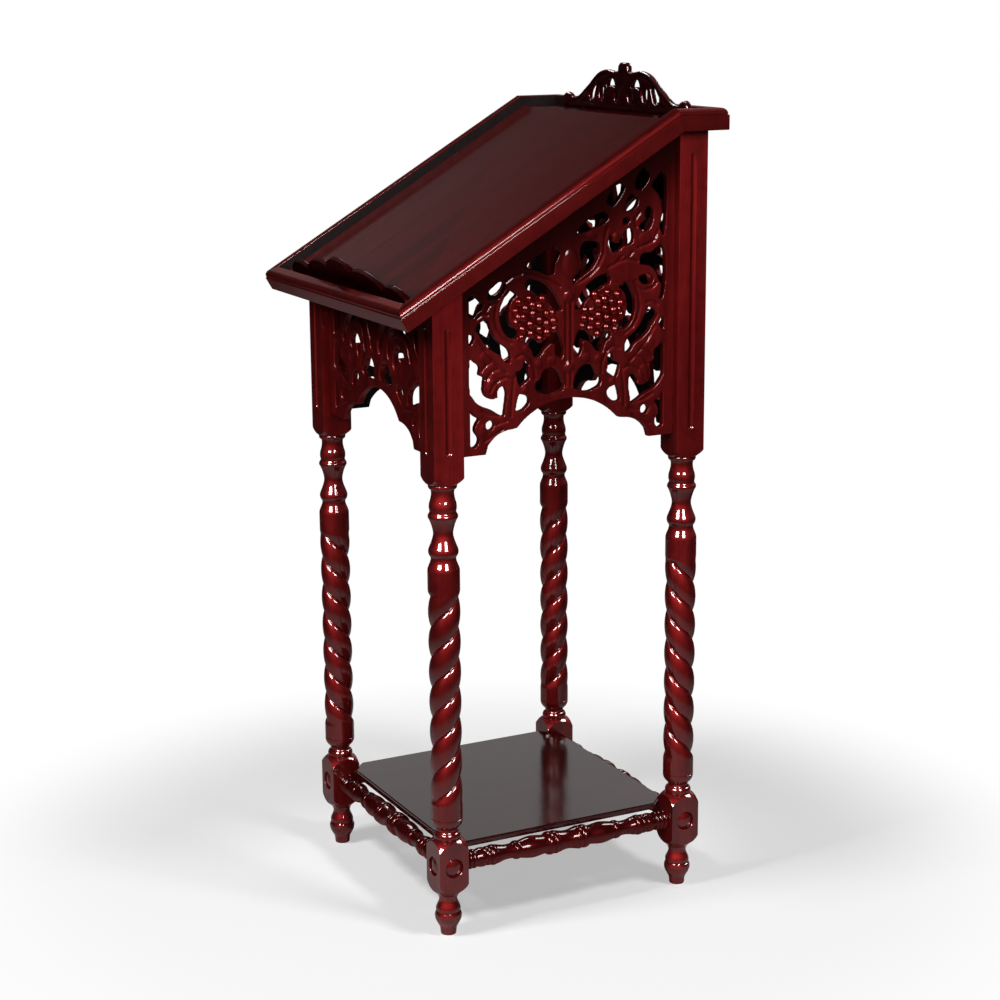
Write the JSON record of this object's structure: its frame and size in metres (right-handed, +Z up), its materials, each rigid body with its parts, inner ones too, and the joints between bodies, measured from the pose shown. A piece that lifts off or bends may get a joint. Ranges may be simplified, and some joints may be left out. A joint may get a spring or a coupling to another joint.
{
  "type": "lectern",
  "caption": "Carved wooden lectern with a sloping desk, scalloped book ledge, pierced vine-and-grape panels, pierced crest, twisted legs, turned stretchers and a low shelf.",
  "frame": {"origin": "on the floor, at the middle of the outer box's plan", "axes": "+Z up, -Y towards the reader at the low edge of the desk, +X to the reader's right"},
  "size_m": [0.484, 0.4995, 1.2003],
  "materials": {
    "turned_wood": "deep red mahogany under gloss lacquer",
    "carved_wood": "carved red mahogany under gloss lacquer",
    "board_wood": "dark red mahogany under gloss lacquer",
    "plain_wood": "bare",
    "steel": "plain"
  },
  "bodies": {
    "root": {"back_panel": "carved_wood", "book_ledge": "turned_wood", "cleat_left": "plain_wood", "cleat_right": "plain_wood", "crest": "turned_wood", "crest_dowel_left": "plain_wood", "crest_dowel_right": "plain_wood", "desk_board": "board_wood", "front_panel": "carved_wood", "leg_back_left": "turned_wood", "leg_back_right": "turned_wood", "leg_front_left": "turned_wood", "leg_front_right": "turned_wood", "rim_back": "turned_wood", "rim_front": "turned_wood", "rim_left_flat": "turned_wood", "rim_left_slope": "turned_wood", "rim_right_flat": "turned_wood", "rim_right_slope": "turned_wood", "screw_left_back": "steel", "screw_left_front": "steel", "screw_right_back": "steel", "screw_right_front": "steel", "shelf_board": "board_wood", "side_panel_left": "carved_wood", "side_panel_right": "carved_wood", "stretcher_back": "turned_wood", "stretcher_front": "turned_wood", "stretcher_left": "turned_wood", "stretcher_right": "turned_wood", "top_board": "board_wood"}
  },
  "joints": []
}
